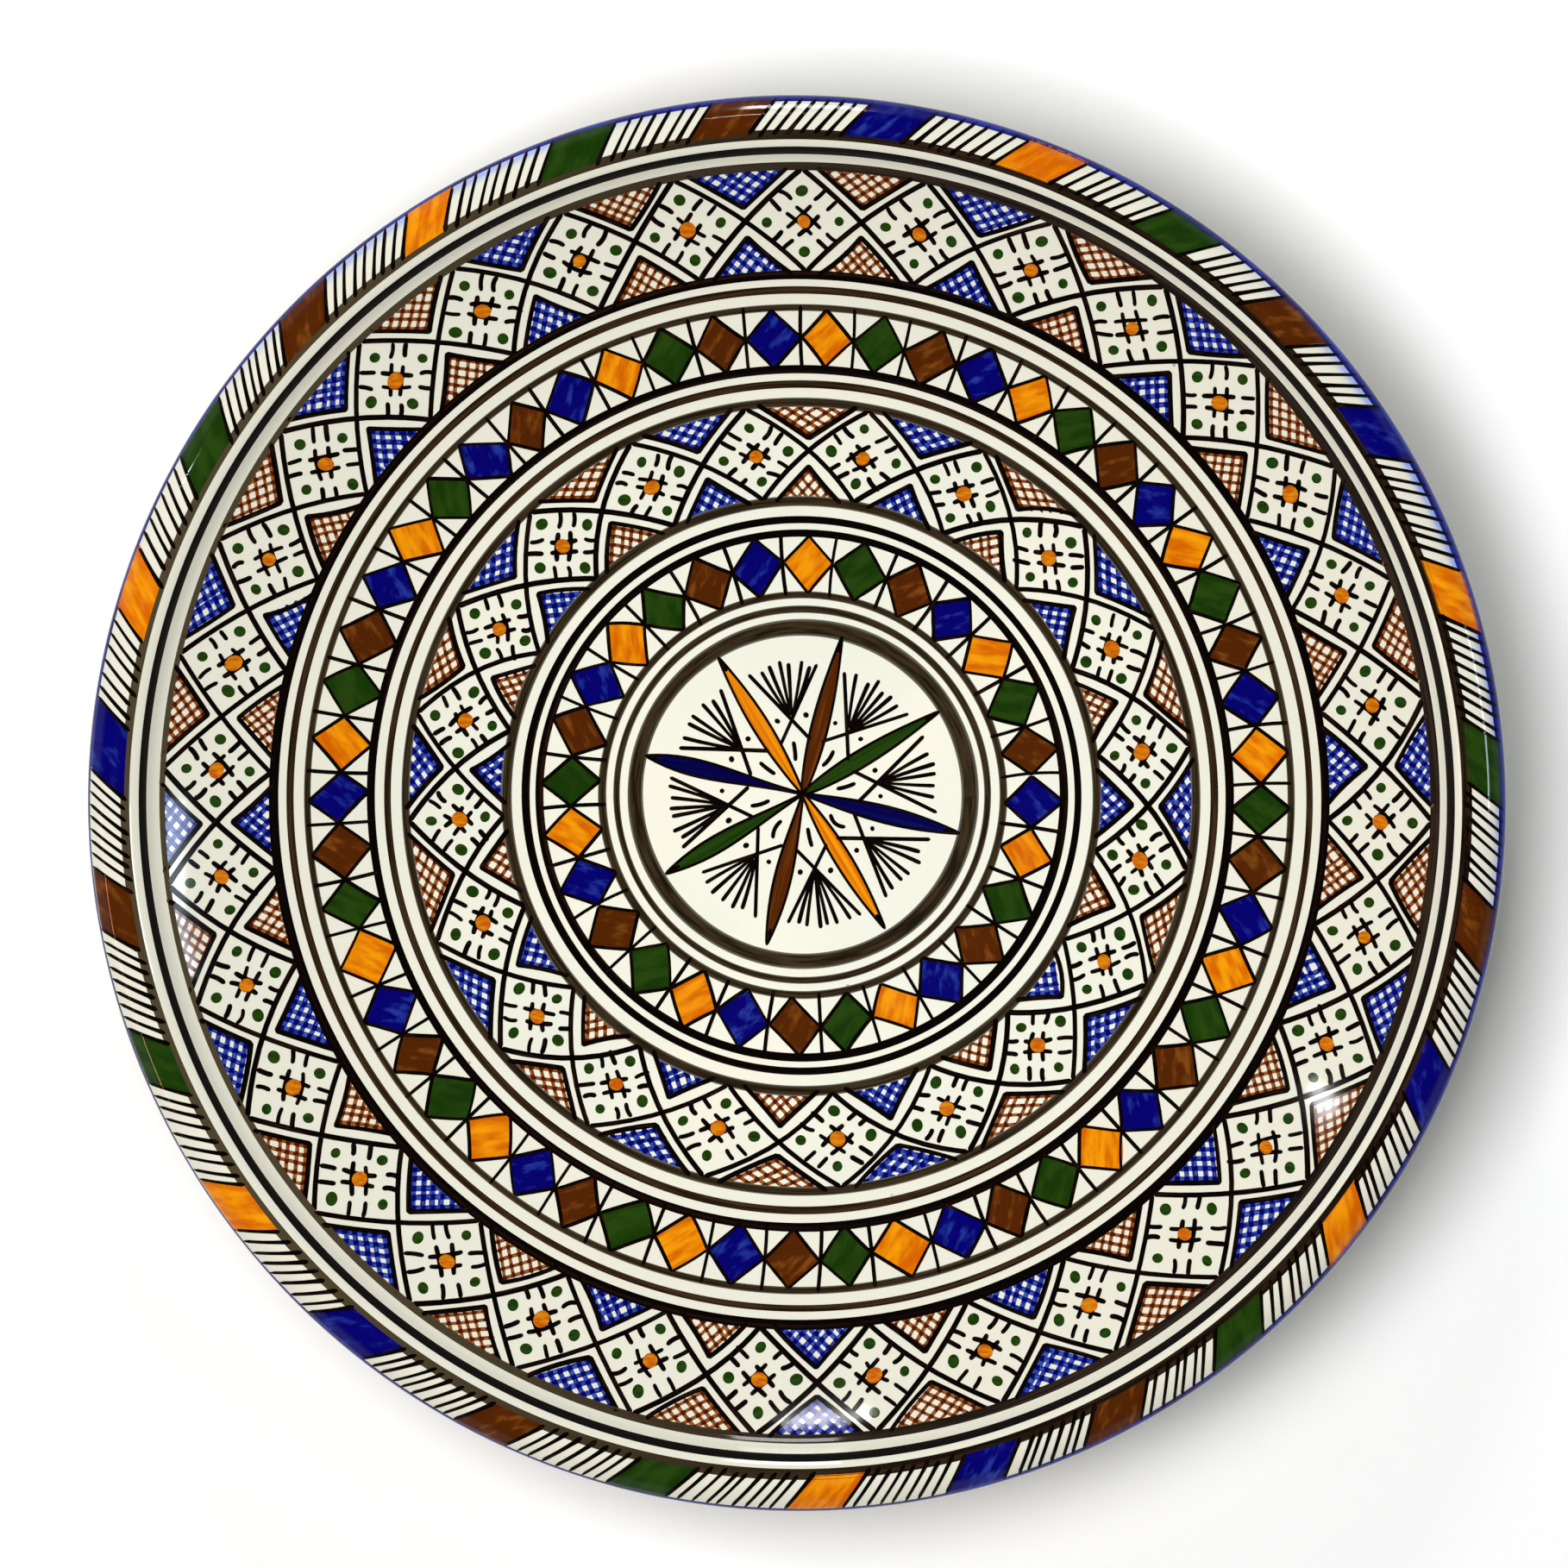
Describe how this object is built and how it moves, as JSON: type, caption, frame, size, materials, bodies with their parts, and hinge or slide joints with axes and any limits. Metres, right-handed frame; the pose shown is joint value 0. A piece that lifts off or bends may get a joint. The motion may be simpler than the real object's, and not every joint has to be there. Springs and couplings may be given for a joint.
{
  "type": "decorative plate",
  "caption": "Round shallow earthenware dish on a pierced foot ring, glazed off-white and hand painted with rings, flower tiles, lozenges and a star; for serving or hanging.",
  "frame": {"origin": "centre of the ring on which the foot stands, on the table", "axes": "+Z up along the plate's axis, out of the face; +X to the right and +Y up on the painted face"},
  "size_m": [0.4005, 0.4006, 0.0645],
  "materials": {
    "clay": "fired red earthenware",
    "bare_clay": "bare fired earthenware, worn smooth where it stands",
    "glaze": "glossy off-white glaze",
    "back_glaze": "glossy off-white glaze",
    "lip_blue": "cobalt under gloss",
    "black": "black brush line under gloss",
    "wash": "thin brown-grey brush line under gloss",
    "green": "dark green under gloss",
    "orange": "orange under gloss",
    "blue": "cobalt blue under gloss",
    "brown": "brown under gloss",
    "lattice": "black brush line under gloss",
    "bars": "black brush line under gloss",
    "sprays": "black brush line under gloss"
  },
  "bodies": {
    "root": {"thrown_dish": "clay", "foot_ring": "bare_clay", "face_glaze": "glaze", "back_glaze": "back_glaze", "lip_line": "lip_blue", "black_rings": "black", "wash_rings": "wash", "green_fills": "green", "orange_fills": "orange", "blue_fills": "blue", "brown_fills": "brown", "tile_lattice": "lattice", "lozenge_bars": "bars", "star_sprays": "sprays"}
  },
  "joints": []
}
